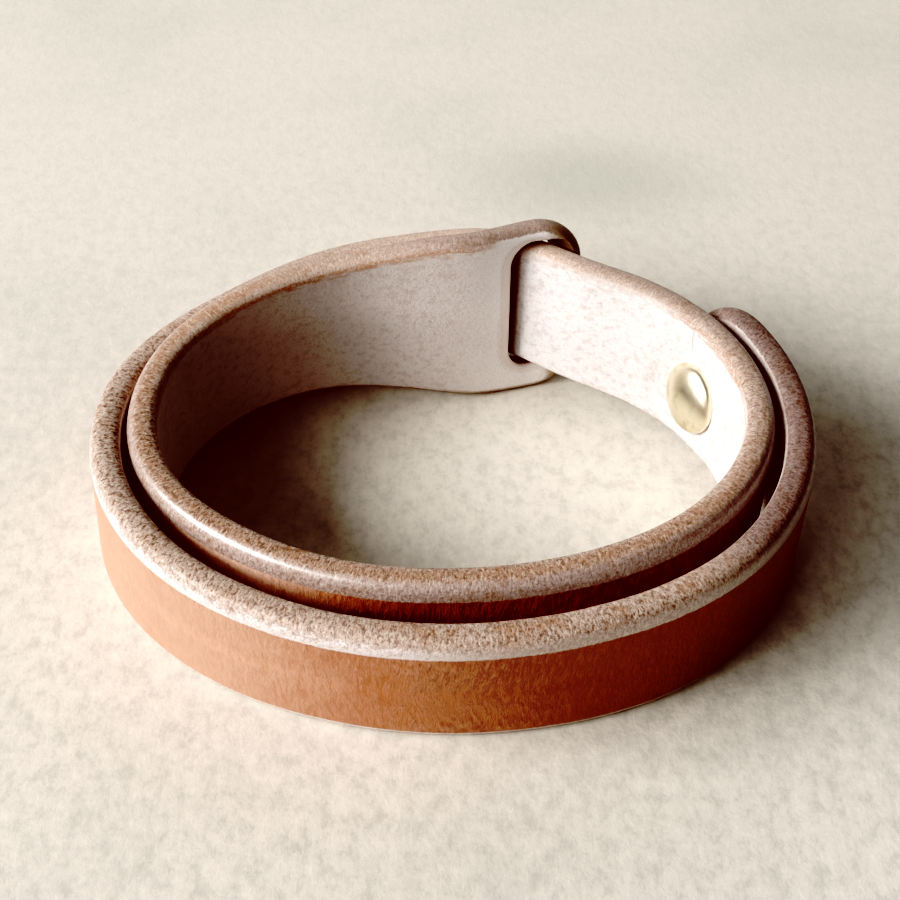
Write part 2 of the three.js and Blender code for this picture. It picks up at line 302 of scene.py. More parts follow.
class FlatStrap:
    """The strap before it is wound: its outline, and how its thickness rounds off towards the rim."""

    def __init__(self, sizes, path):
        self.sizes = sizes
        self.path = path

    def corner(self, length):
        from_free = self.path.length - length
        near_wide = length < from_free
        tip = np.where(near_wide, length, from_free)
        radius = np.where(near_wide, self.sizes.wide_corner, self.sizes.free_corner)
        return tip, radius

    def outline_half(self, length):
        """Half the strap's height, with the corners taken off both ends."""
        tip, radius = self.corner(length)
        inset = np.clip(radius - tip, 0, None)
        return self.path.half(length) - radius + np.sqrt(radius**2 - inset**2)

    def rim_distance(self, length, across):
        tip, radius = self.corner(length)
        side = self.path.half(length) - np.abs(across)
        in_corner = (tip < radius) & (side < radius)
        round_off = radius - np.hypot(radius - tip, radius - side)
        return np.maximum(np.where(in_corner, round_off, np.minimum(tip, side)), 0)

    def fullness(self, distance, rounding):
        power = self.sizes.squareness
        bare = np.clip(1 - distance / rounding, 0, 1)
        return (1 - bare**power) ** (1 / power)

    def points(self):
        """Rings of flat places, each up the grain side and down the flesh side."""
        sizes = self.sizes
        stops = ahead_stops(self.path.length, sizes.wide_corner, sizes.free_corner, sizes.step)
        shares = np.array([1 - k / RIM_STEPS[-1] for k in RIM_STEPS])
        rising = np.concatenate([-shares, shares[-2::-1]])
        half_thickness = sizes.thickness / 2
        rings = []
        for side, order in ((1, rising), (-1, rising[-2:0:-1])):
            rounding = sizes.grain_rounding if side > 0 else sizes.flesh_rounding
            along = np.repeat(stops[:, None], len(order), axis=1)
            across = self.outline_half(along) * order[None, :]
            rim = self.rim_distance(along, across)
            out = side * half_thickness * self.fullness(rim, rounding)
            rings.append(np.stack([along, across, out], axis=-1))
        return np.concatenate(rings, axis=1)


def mesh_object(name, points, faces):
    mesh = bpy.data.meshes.new(name)
    mesh.from_pydata([tuple(p) for p in points], [], faces)
    mesh.update()
    piece = bpy.data.objects.new(name, mesh)
    bpy.context.scene.collection.objects.link(piece)
    return piece


def tube_faces(rings, around, capped=True):
    """Quads between rings of points, with both ends closed when asked."""
    faces = []
    for ring in range(rings - 1):
        for k in range(around):
            a = ring * around + k
            b = ring * around + (k + 1) % around
            faces.append((a, a + around, b + around, b))
    if capped:
        faces.append(tuple(range(around)))
        faces.append(tuple(reversed(range((rings - 1) * around, rings * around))))
    return faces


def pick_only(piece):
    bpy.ops.object.select_all(action="DESELECT")
    piece.select_set(True)
    bpy.context.view_layer.objects.active = piece


def face_outwards(piece, join_within=1e-6):
    pick_only(piece)
    bpy.ops.object.mode_set(mode="EDIT")
    bpy.ops.mesh.select_all(action="SELECT")
    bpy.ops.mesh.remove_doubles(threshold=join_within)
    bpy.ops.mesh.normals_make_consistent(inside=False)
    bpy.ops.object.mode_set(mode="OBJECT")


# ---- The slot and the snap's holes, as cutters for the flat strap ----
# The slot's walls: height through the leather, and how far the cut's mouth has opened there, in millimetres.
FLARE = (
    (-2.6, 1.5), (-1.52, 0.42), (-1.42, 0.2), (-1.2, 0.05), (-0.9, 0.0),
    (0.9, 0.0), (1.2, 0.05), (1.42, 0.2), (1.52, 0.42), (2.6, 1.5),
)
SLOT_SEARCH = 8 * MM    # how far each way along the strap the slot's ends are looked for
SNAP_SEARCH = 8         # and the snap's place on the outer loop, in degrees of turn


def slot_ends(path, slot, outward):
    """Where the slot's two straight ends lie on the flat strap, at a height through the leather."""
    middle = path.length_at(slot.turn)
    lengths = np.linspace(max(middle - SLOT_SEARCH, 0), middle + SLOT_SEARCH, 600)
    across = np.full_like(lengths, slot.above_centre)
    wound = path.place(np.stack([lengths, across, np.full_like(lengths, outward)], axis=-1))
    origin, out, _, along = (v[0] for v in path.frames(np.array([middle])))
    offset = wound - origin
    reach = offset @ along - slot.slant * (offset @ out)
    return np.interp([-slot.length / 2, slot.length / 2], reach, lengths)


def rounded_box(low, high, bottom, top, corner, pieces=8):
    centres = ((high - corner, bottom + corner, -90), (high - corner, top - corner, 0),
               (low + corner, top - corner, 90), (low + corner, bottom + corner, 180))
    ring = []
    for x, y, start in centres:
        for k in range(pieces + 1):
            angle = math.radians(start + 90 * k / pieces)
            ring.append((x + corner * math.cos(angle), y + corner * math.sin(angle)))
    return ring


def slot_cutter(path, slot):
    points = []
    for height, open_by in FLARE:
        outward = height * MM
        opening = open_by * MM
        low, high = slot_ends(path, slot, max(-HALF_LEATHER, min(HALF_LEATHER, outward)))
        bottom = slot.above_centre - slot.height / 2
        ring = rounded_box(low - opening, high + opening, bottom - opening, bottom + slot.height + opening,
                           slot.corner + opening)
        points += [(x, y, outward) for x, y in ring]
    around = len(points) // len(FLARE)
    cutter = mesh_object("slot_cutter", points, tube_faces(len(FLARE), around))
    face_outwards(cutter)
    return cutter


def snap_axis(path, snap):
    """The snap's middle in the inner loop, and its ways along, out and across."""
    middle, out, up, along = (Vector(v[0]) for v in path.frames(np.array([path.length_at(snap.turn)])))
    swing = Matrix.Rotation(-math.radians(snap.swing), 3, up)
    along = swing @ along
    tip = Matrix.Rotation(math.radians(snap.tip), 3, along)
    return middle - up * snap.below_centre, along, tip @ swing @ out, tip @ up


def snap_spots(path, snap):
    """Where the snap goes through each loop of the flat strap, as (length, across)."""
    start, along, _, up = snap_axis(path, snap)
    inner = path.length_at(snap.turn), -snap.below_centre
    above = snap.turn + FULL_TURN
    first, last = path.length_at(above - SNAP_SEARCH), path.length_at(above + SNAP_SEARCH)
    lengths = np.linspace(first, last, 300)
    offset = path.frames(lengths)[0] - np.array(start)
    outer = float(np.interp(0, offset @ np.array(along), lengths))
    rise = float(np.interp(outer, lengths, offset @ np.array(up)))
    return inner, (outer, -rise)


def hole_cutter(spot, radius, thickness):
    bpy.ops.mesh.primitive_cylinder_add(vertices=24, radius=radius, depth=3 * thickness,
                                        location=(spot[0], spot[1], 0))
    return bpy.context.active_object


def cut_away(piece, cutter):
    pick_only(piece)
    cut = piece.modifiers.new("Cut", "BOOLEAN")
    cut.operation = "DIFFERENCE"
    cut.solver = "EXACT"
    cut.object = cutter
    bpy.ops.object.modifier_apply(modifier=cut.name)
    bpy.data.meshes.remove(cutter.data)


def ease(low, high, values):
    share = np.clip((values - low) / (high - low), 0, 1)
    return share * share * (3 - 2 * share)


def wander(places, scale, seed):
    """Smooth noise from -1 to 1 at each place, with a given feature size."""
    shift = Vector((seed * 17.3, seed * 5.1, seed * 9.7))
    return np.array([noise.noise(Vector(p) / scale + shift) for p in places])


def slot_distance(flat, path, slot):
    """How far each flat place is outside the slot's outline at mid thickness."""
    low, high = slot_ends(path, slot, 0)
    x = np.abs(flat[:, 0] - (low + high) / 2) - (high - low) / 2 + slot.corner
    y = np.abs(flat[:, 1] - slot.above_centre) - slot.height / 2 + slot.corner
    outside = np.hypot(np.maximum(x, 0), np.maximum(y, 0))
    return np.maximum(outside + np.minimum(np.maximum(x, y), 0) - slot.corner, 0)


# Unevenness left by hand work: each one's feature size and depth in millimetres, and its noise's seed.
CUT_WAVES = ((9, 0.07, 1), (2.6, 0.025, 2))
FACE_WAVES = (6, 0.03, 3)
FACE_GRIT = (1.6, 0.012, 4)
EDGE_REACH = 5 * MM     # how far in from the rim the cut's waves fade
SNAP_TILT = 0.6         # how much of the snap's tilt the leather under it takes up
SNAP_TILT_FADE = 1.9    # where that has faded, in cap radii from the snap
DIMPLE = (0.9, 1.25)    # where the dimple under the cap starts to rise and ends, in cap radii


def waves(places, size, depth, seed):
    return wander(places, size * MM, seed) * depth * MM


def hand_worn(flat, rim, spots, snap):
    """Small unevenness of cut and burnished leather, and the dimples where the snap presses in."""
    worn = flat.copy()
    above_middle = np.sign(flat[:, 1])
    drift = np.stack([flat[:, 0], above_middle * 0.02, np.zeros(len(flat))], axis=-1)
    edge_share = 1 - ease(0, EDGE_REACH, rim)
    for wave in CUT_WAVES:
        worn[:, 1] += waves(drift, *wave) * edge_share * above_middle
    worn[:, 2] += waves(flat, *FACE_WAVES)
    worn[:, 2] += waves(flat, *FACE_GRIT) * (1 - edge_share)
    swing_slope = math.tan(math.radians(snap.swing))
    tip_slope = math.tan(math.radians(snap.tip))
    for (length, across), side in zip(spots, (-1, 1)):
        ahead, above = flat[:, 0] - length, flat[:, 1] - across
        away = np.hypot(ahead, above) / snap.cap_radius
        tilted = ahead * swing_slope + above * tip_slope
        worn[:, 2] += SNAP_TILT * tilted * (1 - ease(1, SNAP_TILT_FADE, away))
        facing = np.sign(flat[:, 2]) == side
        worn[:, 2] -= side * snap.seat_depth * (1 - ease(*DIMPLE, away)) * facing
    return worn


def make_strap(scene):
    strap, slot, snap = scene.bracelet_strap, scene.bracelet_slot, scene.bracelet_snap
    path = StrapPath(strap)
    shape = FlatStrap(strap, path)
    rings = shape.points()
    piece = mesh_object("strap", rings.reshape(-1, 3), tube_faces(*rings.shape[:2], capped=False))
    face_outwards(piece)
    cut_away(piece, slot_cutter(path, slot))
    spots = snap_spots(path, snap)
    for spot in spots:
        cut_away(piece, hole_cutter(spot, snap.hole_radius, strap.thickness))
    mesh = piece.data
    flat = np.zeros(len(mesh.vertices) * 3)
    mesh.vertices.foreach_get("co", flat)
    flat = flat.reshape(-1, 3)
    from_slot = slot_distance(flat, path, slot)
    rim = np.minimum(shape.rim_distance(flat[:, 0], flat[:, 1]), from_slot)
    for name, kind, key, values in (
        ("flat_place", "FLOAT_VECTOR", "vector", flat.ravel()),
        ("from_rim", "FLOAT", "value", rim),
        ("from_slot", "FLOAT", "value", from_slot),
    ):
        mesh.attributes.new(name, kind, "POINT").data.foreach_set(key, values / MM)
    wound = path.place(hand_worn(flat, rim, spots, snap))
    mesh.vertices.foreach_set("co", wound.ravel())
    mesh.update()
    pick_only(piece)
    bpy.ops.object.shade_smooth()
    return piece, path


# ---- Materials ----
def sum_with(operation, swapped=False):
    """A method that adds a Math node for a value and another number."""
    def method(self, other):
        first, second = (other, self) if swapped else (self, other)
        return self.bench.value("ShaderNodeMath", {"operation": operation}, {0: first, 1: second})

    return method


class Value:
    """One number's socket. Sums written with it add Math nodes."""

    def __init__(self, bench, socket):
        self.bench = bench
        self.socket = socket

    def __abs__(self):
        return self.bench.value("ShaderNodeMath", {"operation": "ABSOLUTE"}, {0: self})

    __add__ = sum_with("ADD")
    __radd__ = sum_with("ADD", swapped=True)
    __sub__ = sum_with("SUBTRACT")
    __rsub__ = sum_with("SUBTRACT", swapped=True)
    __mul__ = sum_with("MULTIPLY")
    __rmul__ = sum_with("MULTIPLY", swapped=True)
    __pow__ = sum_with("POWER")


class Bench:
    """A material and its nodes."""

    def __init__(self, name):
        self.material = bpy.data.materials.new(name)
        self.material.use_nodes = True
        self.tree = self.material.node_tree
        self.tree.nodes.clear()

    def node(self, kind, settings=None, sockets=None):
        made = self.tree.nodes.new(kind)
        for key, setting in (settings or {}).items():
            setattr(made, key, setting)
        for key, given in (sockets or {}).items():
            socket = made.inputs[key]
            given = given.socket if isinstance(given, Value) else given
            if isinstance(given, bpy.types.NodeSocket):
                self.tree.links.new(given, socket)
            elif given is not None:
                socket.default_value = given
        return made

    def value(self, kind, settings=None, sockets=None, output=0):
        return Value(self, self.node(kind, settings, sockets).outputs[output])

    def attribute(self, name, output):
        return self.node("ShaderNodeAttribute", {"attribute_name": name}).outputs[output]

    def most(self, first, second):
        settings = {"operation": "MAXIMUM", "use_clamp": True}
        return self.value("ShaderNodeMath", settings, {0: first, 1: second})

    def scaled(self, place, scale):
        return self.node("ShaderNodeMapping", None, {"Vector": place, "Scale": scale}).outputs[0]

    def noise(self, place, scale, detail, roughness):
        return self.value("ShaderNodeTexNoise", None, {
            "Vector": place, "Scale": scale, "Detail": detail, "Roughness": roughness})

    def between(self, value, low, high):
        """0 below low, 1 above high, eased between. Low may be the larger."""
        return self.value("ShaderNodeMapRange", {"interpolation_type": "SMOOTHSTEP"},
                          {"Value": value, "From Min": low, "From Max": high})

    def mix(self, share, first, second, blend="MIX"):
        first, second = ((*c, 1) if isinstance(c, tuple) else c for c in (first, second))
        settings = {"data_type": "RGBA", "blend_type": blend}
        return self.node("ShaderNodeMix", settings, {0: share, 6: first, 7: second}).outputs[2]

    def coated(self, colour, *coats):
        """A colour with coats laid over it in turn, each given as its share and its tint."""
        for share, tint_over in coats:
            colour = self.mix(share, colour, tint_over)
        return colour

    def bump(self, height, strength, distance, normal=None):
        return self.node("ShaderNodeBump", None, {
            "Height": height, "Strength": strength, "Distance": distance, "Normal": normal}).outputs[0]

    def finish(self, sockets):
        shader = self.node("ShaderNodeBsdfPrincipled", None, sockets)
        self.node("ShaderNodeOutputMaterial", None, {"Surface": shader.outputs[0]})
        return self.material


def colours_of(group, *names):
    return [tuple(getattr(group, name)) for name in names]


# Patterns on the flat strap: how much finer each one is along, across and through the leather, then its
# scale, its detail and its roughness.
PATTERNS = {
    "ragged": ((1, 1, 1), 1.3, 4, 0.65),
    "fine ragged": ((1, 1, 1), 5.0, 3, 0.6),
    "broad": ((1, 1, 1), 0.35, 3, 0.6),
    "grain patches": ((1, 1, 1), 0.13, 3, 0.5),
    "grain mottle": ((2.6, 0.75, 1), 1.0, 4, 0.65),
    "grain pores": ((1.25, 0.8, 1), 4.6, 3, 0.65),
    "dye streaks": ((2.6, 0.85, 1), 1.0, 3, 0.6),
    "edge flecks": ((3.0, 2.3, 2.3), 1.0, 3, 0.75),
    "edge fine flecks": ((7.0, 5.6, 4.6), 1.0, 2, 0.7),
    "edge hairs": ((4.8, 2.0, 1.6), 1.0, 3, 0.6),
    "flesh nap": ((1, 1.5, 1), 2.6, 5, 0.7),
    "flesh hollows": ((1, 1.3, 1), 1.1, 4, 0.65),
    "stain runs": ((0.5, 2.4, 1), 1.0, 3, 0.65),
}

# Zones of the strap with something of their own. Each is made of stretches: the first and last turn, in
# degrees, the millimetres over which it fades in and out, and its share.
ZONES = {
    "outer loop": ((430, 800, 8, 1),),
    # Painted light on the inner loop's grain and a painted sheen on the outer loop's grain, both at the
    # front left.
    "grain in painted light": ((190, 222, 12, 1),),
    "grain in painted sheen": ((550, 588, 16, 1),),
    # Painted shade on the grain of the outer loop's right side and of the inner loop's front and right.
    "grain in painted shade": ((690, 800, 52, 1), (262, 400, 14, 0.55)),
    "edge smoother": (
        (394, 480, 30, 1), (40, 148, 26, 1), (686, 800, 20, 0.5),
        (336, 400, 14, 0.5), (612, 670, 18, 0.25), (262, 334, 16, 0.25),
    ),
    "edge tan": ((150, 330, 20, 0.6),),
    "edge tan in patches": ((628, 675, 8, 0.6),),
    # Painted shade on the edges of both loops' right sides and of the wide end.
    "edge in painted shade": ((694, 740, 12, 1), (350, 392, 16, 0.20), (40, 96, 12, 0.45)),
    # A painted highlight on the outer loop's shoulder at the front left.
    "edge painted highlight": ((560, 612, 20, 0.85),),
    "shoulder bevelled": ((548, 640, 22, 1),),
    # Painted light on the wide end's flesh side, then painted shade on the inner loop's flesh side.
    "flesh in painted light": ((40, 78, 7, 1),),
    "flesh in painted shade": ((92, 330, 8, 0.30),),
    "flesh in more painted shade": ((140, 330, 16, 0.28),),
    "flesh stained": ((92, 250, 8, 0.45), (366, 384, 4, 0.45)),
    # Painted shade on the strap's flesh side just past the slot, and on the wide end's tip.
    "shadowed by the slot": ((433, 448, 1.2, 1),),
    "tip in painted shade": ((40, 84, 5, 1),),
}
CREASE_TURN = 383         # a thin crease in the flesh side, above the snap
RELIEF = 0.22 * MM        # the depth of the leather's small relief
BEVEL_RELIEF = 0.35 * MM  # how far the grain's shoulder seems to fall away at the front
CREASE_RELIEF = 0.08 * MM


class LeatherSite:
    """Where a point is on the flat strap, in millimetres, and the patterns and zones there."""

    def __init__(self, bench, tones, path):
        self.bench = bench
        self.tones = tones
        self.path = path
        self.place = bench.attribute("flat_place", 1)
        self.from_rim = Value(bench, bench.attribute("from_rim", 2))
        self.from_slot = Value(bench, bench.attribute("from_slot", 2))
        parts = bench.node("ShaderNodeSeparateXYZ", None, {0: self.place})
        self.along, self.across, outward = (Value(bench, parts.outputs[k]) for k in range(3))
        self.through = outward * (MM / HALF_LEATHER)    # -1 on the flesh face, 1 on the grain face
        self.ragged = self.pattern("ragged") - 0.5
        self.fine_ragged = self.pattern("fine ragged") - 0.5
        self.broad = self.pattern("broad") - 0.5
        self.upper = bench.between(self.across, -1, 1)
        self.on_grain = bench.between(self.through, 0.02, 0.06)

    def tints(self, *names):
        return colours_of(self.tones, *names)

    def pattern(self, name):
        finer, scale, detail, roughness = PATTERNS[name]
        return self.bench.noise(self.bench.scaled(self.place, finer), scale, detail, roughness)

    def length(self, turn):
        return self.path.length_at(turn) / MM

    def zone(self, name):
        """A zone's share at each place: the most of its stretches, each easing to 0 over its fade."""
        between, along = self.bench.between, self.along
        stretches = []
        for first, last, fade, share in ZONES[name]:
            low, high = self.length(first), self.length(last)
            inside = between(along, low - fade, low) * between(along, high + fade, high)
            stretches.append(inside * share)
        return reduce(self.bench.most, stretches)


def grain_finish(site):
    """The grain side: broad patches, dye streaks, an upright mottle and fine pores, with painted shade on
    the sides turned from the light, and painted light and a painted sheen at the front left.
    """
    bench, between = site.bench, site.bench.between
    plain, pale, deep = site.tints("grain", "grain_pale_and_sheen", "grain_deep")
    painted_light_tint, painted_shade_tint = site.tints("grain_painted_light", "grain_painted_shade")
    patches = site.pattern("grain patches")
    mottle = site.pattern("grain mottle")
    pores = site.pattern("grain pores")
    streaks = site.pattern("dye streaks")
    # Painted light: bare lightens the inner loop's grain at the front left, and worn lays a painted sheen on
    # the outer loop's grain there.
    bare = site.zone("grain in painted light")
    worn = site.zone("grain in painted sheen")
    lightened = bench.most(worn, bare)
    # The next share joins the real dye streaks with painted shade on the sides turned from the light.
    streaks_and_shade = site.zone("grain in painted shade") + (streaks - 0.5) * 1.3
    darkened = between(streaks_and_shade + (patches - 0.5) * 0.6, 0.20, 0.72)
    colour = bench.coated(
        plain,
        (between(patches, 0.40, 0.66) * 0.35, pale),
        (worn * 0.75, pale),
        (darkened * 0.85, painted_shade_tint),
        (bare * 0.85, painted_light_tint),
        (between(mottle, 0.54, 0.36) * (1 - lightened * 0.7) * 0.6, deep),
        (between(mottle, 0.52, 0.70) * (0.40 - darkened * 0.22), pale),
        (between(pores, 0.47, 0.30) * (1 - lightened * 0.5) * 0.35, deep),
    )
    rough = 0.52 + (pores - 0.5) * 0.3
    height = (pores - 0.5) * 0.40 + (mottle - 0.5)
    return colour, rough, height


def edge_finish(site):
    """The edge: fibres seen end on, dark and pale, over a smooth shoulder on the grain side, with painted
    shade where the edge is turned from the light and a painted highlight on the outer loop's shoulder at the
    front left.
    """
    bench, between = site.bench, site.bench.between
    plain, smooth, pale, tan = site.tints("edge", "edge_smooth", "edge_pale", "edge_tan")
    fleck, shaded, highlight_tint = site.tints("edge_fleck", "edge_painted_shade", "edge_painted_highlight")
    through, broad, ragged = site.through, site.broad, site.ragged
    flecks = site.pattern("edge flecks")
    fine_flecks = site.pattern("edge fine flecks")
    hairs = site.pattern("edge hairs")
    outer_loop = site.zone("outer loop")
    shoulder_from = 0.30 + outer_loop * 0.32
    shoulder = between(through + ragged * 0.5 - shoulder_from, 0.0, 0.32)
    rough_part = (1 - shoulder * 0.45) * (1 - site.zone("edge smoother") * 0.75)

    band = between(abs(through + 0.05 + broad * 0.9), 0.75, 0.15)
    tan_patches = site.zone("edge tan in patches") * between(broad, -0.05, 0.12)
    tanned = bench.most(site.zone("edge tan"), tan_patches)
    colour = bench.coated(
        plain,
        (shoulder, smooth),
        (band * tanned, tan),
        (between(broad + ragged * 0.5, 0.02, 0.22) * 0.4, tan),
        (between(hairs, 0.50, 0.38) * 0.5 * rough_part, fleck),
        (between(flecks, 0.50, 0.40) * 0.92 * rough_part, fleck),
        (between(fine_flecks, 0.47, 0.34) * 0.55, fleck),
        (between(hairs, 0.54, 0.66) * 0.55, pale),
        (between(fine_flecks, 0.56, 0.68) * 0.4, pale),
    )
    # Painted shade: the edge is darkened where it is turned from the light.
    colour = bench.mix(site.zone("edge in painted shade"), colour, shaded, "MULTIPLY")
    # A painted highlight on the outer loop's shoulder at the front left.
    highlighted = between(through + ragged * 0.5 + site.fine_ragged * 0.6, 0.78, 1.02)
    colour = bench.mix(site.zone("edge painted highlight") * highlighted, colour, highlight_tint)

    rough = 0.62 + (flecks - 0.5) * 0.4 - shoulder * 0.16
    coarse = (flecks - 0.5) * 0.8 + (hairs - 0.5) * 0.4
    height = coarse * rough_part + (fine_flecks - 0.5) * 0.22
    shine = shoulder * bench.most(between(through + ragged * 0.3, 0.45, 0.75), 1 - outer_loop)
    return colour, rough, height, shine


def flesh_finish(site):
    """The flesh side: a short nap and dye run down from the edge, with painted light on the wide end near
    the slot and painted shade on the inner loop's flesh side from its back round the left to its front.
    """
    bench, between = site.bench, site.bench.between
    plain, deep, darkened, lighter, stain = site.tints("flesh", "flesh_deep_and_crease_shade", "flesh_painted_shade", "flesh_painted_light", "stain")
    ragged, fine_ragged, upper = site.ragged, site.fine_ragged, site.upper
    nap = site.pattern("flesh nap")
    hollows = site.pattern("flesh hollows")
    runs = site.pattern("stain runs") - 0.5
    # Painted light: the wide end's flesh side near the slot is made whiter, with less of the darker mottle.
    brightened = site.zone("flesh in painted light")
    hollowed = 1 - brightened * 0.45
    stained = 0.40 + site.zone("flesh stained")
    speckled = between(fine_ragged + ragged * 0.5, -0.16, 0.10) * 0.6 + 0.4
    stain_place = site.from_rim + ragged * 0.8 + fine_ragged * 1.2 + runs * 2.0
    stain_line = between(stain_place, 0.55 + upper * 0.95, 0.35 + upper * 0.60)
    clear_of_slot = between(site.from_slot, 2.0, 3.2)
    slot_halo = between(site.from_slot + ragged * 0.5, 0.95, 0.25)
    colour = bench.coated(
        plain,
        (between(nap, 0.53, 0.30) * hollowed * 0.45, deep),
        (between(hollows, 0.54, 0.32) * hollowed * 0.50, deep),
        (brightened * 0.8, lighter),
        # Painted shade on the inner loop's flesh side, from its back round the left to its front.
        (site.zone("flesh in painted shade"), darkened),
        (site.zone("flesh in more painted shade"), darkened),
        (stain_line * stained * speckled * clear_of_slot, stain),
        (slot_halo * 0.25, stain),
    )
    return colour, (nap - 0.5) * 1.1


def paint_shade_at_slot_and_tip(site, colour):
    """Adds painted shade on the slot's walls, on the strap's flesh side just past the slot, and on the wide
    end's tip and lower edge.
    """
    bench = site.bench
    between, most = bench.between, bench.most
    slot_painted_shade, tip = site.tints("slot_painted_shade", "tip")
    from_rim, from_slot, ragged = site.from_rim, site.from_slot, site.ragged
    inner_part = between(site.through + site.fine_ragged * 0.2, -0.85, -0.50)
    # Painted shade on the inner part of the slot's walls.
    slot_shade = between(from_slot, 0.30, 0.10) * inner_part
    # Painted shade on the strap's flesh side just past the slot.
    shadowed = site.zone("shadowed by the slot") * (1 - site.on_grain) * between(site.across, 7.0, 6.0)
    slot_shade = most(slot_shade, shadowed)
    # Painted shade on the edge of the wide end's tip and along its lower edge.
    tip_shade = between(site.along + ragged * 3, 4.6, 1.8) * between(from_rim + ragged * 0.8, 2.2, 1.3)
    under_tip_shade = site.zone("tip in painted shade") * (1 - site.upper) * between(from_rim + ragged * 0.3, 1.0, 0.6)
    under_tip_shade = under_tip_shade * between(from_slot, 0.6, 1.2)
    tip_shade = most(tip_shade, under_tip_shade * 0.8)
    return bench.coated(colour, (tip_shade * 0.95, tip), (slot_shade * 0.95, slot_painted_shade))


def leather_material(scene, path):
    bench = Bench("tan_leather")
    site = LeatherSite(bench, scene.bracelet_leather, path)
    between, mix = bench.between, bench.mix
    along, across, from_rim = site.along, site.across, site.from_rim
    on_grain, upper = site.on_grain, site.upper

    rim_place = from_rim + site.ragged * 0.35 + site.fine_ragged * 0.35
    grain_edge = between(rim_place - upper * 0.70, 1.30, 1.08)
    flesh_edge = between(rim_place - upper * 0.30, 0.32, 0.12)
    inside = between(abs(site.through), 0.9, 0.8)
    on_edge = bench.most(on_grain * grain_edge + (1 - on_grain) * flesh_edge, inside)

    grain_colour, grain_rough, grain_height = grain_finish(site)
    edge_colour, edge_rough, edge_height, shine = edge_finish(site)
    flesh_colour, flesh_height = flesh_finish(site)
    colour = mix(on_grain, flesh_colour, grain_colour)
    colour = mix(on_edge * between(site.from_slot, 0.3, 0.9), colour, edge_colour)
    colour = paint_shade_at_slot_and_tip(site, colour)
    rough = on_grain * grain_rough + (1 - on_grain) * 0.92
    rough = on_edge * edge_rough + (1 - on_edge) * rough
    height = on_grain * grain_height + (1 - on_grain) * flesh_height
    height = on_edge * edge_height + (1 - on_edge) * height

    crease_line = site.length(CREASE_TURN) + (across - 5) * 0.06
    crease = between(abs(along - crease_line), 0.20, 0.04)
    crease = crease * between(across, 3.1, 4.6) * (1 - on_grain) * between(from_rim, 0.9, 1.5)
    # Painted shade in the crease, besides the relief the bump gives it below.
    colour = mix(crease * 0.30, colour, site.tints("flesh_deep_and_crease_shade")[0])
    bevel = site.zone("shoulder bevelled") * on_grain * upper * between(from_rim, 0.6, 2.3)
    normal = bench.bump(height, 0.6, RELIEF)
    normal = bench.bump(1 - bevel, 1.0, BEVEL_RELIEF, normal)
    normal = bench.bump(1 - crease, 1.0, CREASE_RELIEF, normal)
    return bench.finish({
        "Base Color": colour,
        "Roughness": rough,
        "Coat Weight": on_grain * 0.10 + shine * on_edge * 0.85,
        "Coat Roughness": 0.30,
        "Coat IOR": 1.8,
        "IOR": 1.5,
        "Normal": normal,
    })


DOME_RELIEF = 0.0004    # how much rounder than its mesh the cap's shine is, in metres


def from_axis(bench, place, axis):
    """How far a place is from an axis, given as a place on it and a direction, in metres."""
    middle, direction = (tuple(v) for v in axis)
    arm = bench.node("ShaderNodeVectorMath", {"operation": "SUBTRACT"}, {0: place, 1: middle})
    across = bench.node("ShaderNodeVectorMath", {"operation": "CROSS_PRODUCT"}, {
        0: arm.outputs[0], 1: direction})
    length = bench.node("ShaderNodeVectorMath", {"operation": "LENGTH"}, {0: across.outputs[0]})
    return Value(bench, length.outputs["Value"])


def brass_material(scene, name, axis=None):
    """Polished brass. With an axis, its shine rounds off about it like a domed cap's."""
    face, tarnish = colours_of(scene.bracelet_brass, "face", "tarnish")
    bench = Bench(name)
    place = bench.node("ShaderNodeTexCoord").outputs["Object"]
    cloud = bench.noise(place, 420, 4, 0.6)
    scratches = bench.noise(bench.scaled(place, (900, 5000, 5000)), 1.0, 2, 0.5)
    colour = bench.mix(bench.between(cloud, 0.50, 0.72) * 0.5, face, tarnish)
    rough = 0.32 + (cloud - 0.5) * 0.2 + (scratches - 0.5) * 0.08
    normal = bench.bump(scratches, 0.08, 0.00004)
    if axis:
        radius = from_axis(bench, place, axis) * (1 / scene.bracelet_snap.cap_radius)
        normal = bench.bump(1 - radius ** 2, 1.0, DOME_RELIEF, normal)
    return bench.finish({
        "Base Color": colour,
        "Metallic": 1.0,
        "Roughness": rough,
        "Normal": normal,
    })


# ---- Snap ----
# The cap's and the outer head's profiles: radius, and height over the leather's face, in millimetres.
CAP_PROFILE = (
    (3.62, -0.30), (3.80, -0.10), (3.80, 0.12), (3.71, 0.34), (3.48, 0.56), (3.10, 0.76),
    (2.60, 0.94), (2.00, 1.09), (1.36, 1.20), (0.74, 1.27), (0.22, 1.30),
)
HEAD_PROFILE = (
    (3.62, -0.30), (3.80, -0.10), (3.80, 0.30), (3.66, 0.52), (3.30, 0.74), (2.70, 0.93),
    (1.95, 1.08), (1.10, 1.17), (0.30, 1.20),
)
POST_RADIUS = 1.4
STEM_DEPTH = 1.35    # how deep the cap's stem reaches into the leather
POST_GAP = 0.15      # how far the outer head's post stops short of the middle of the inner loop's leather


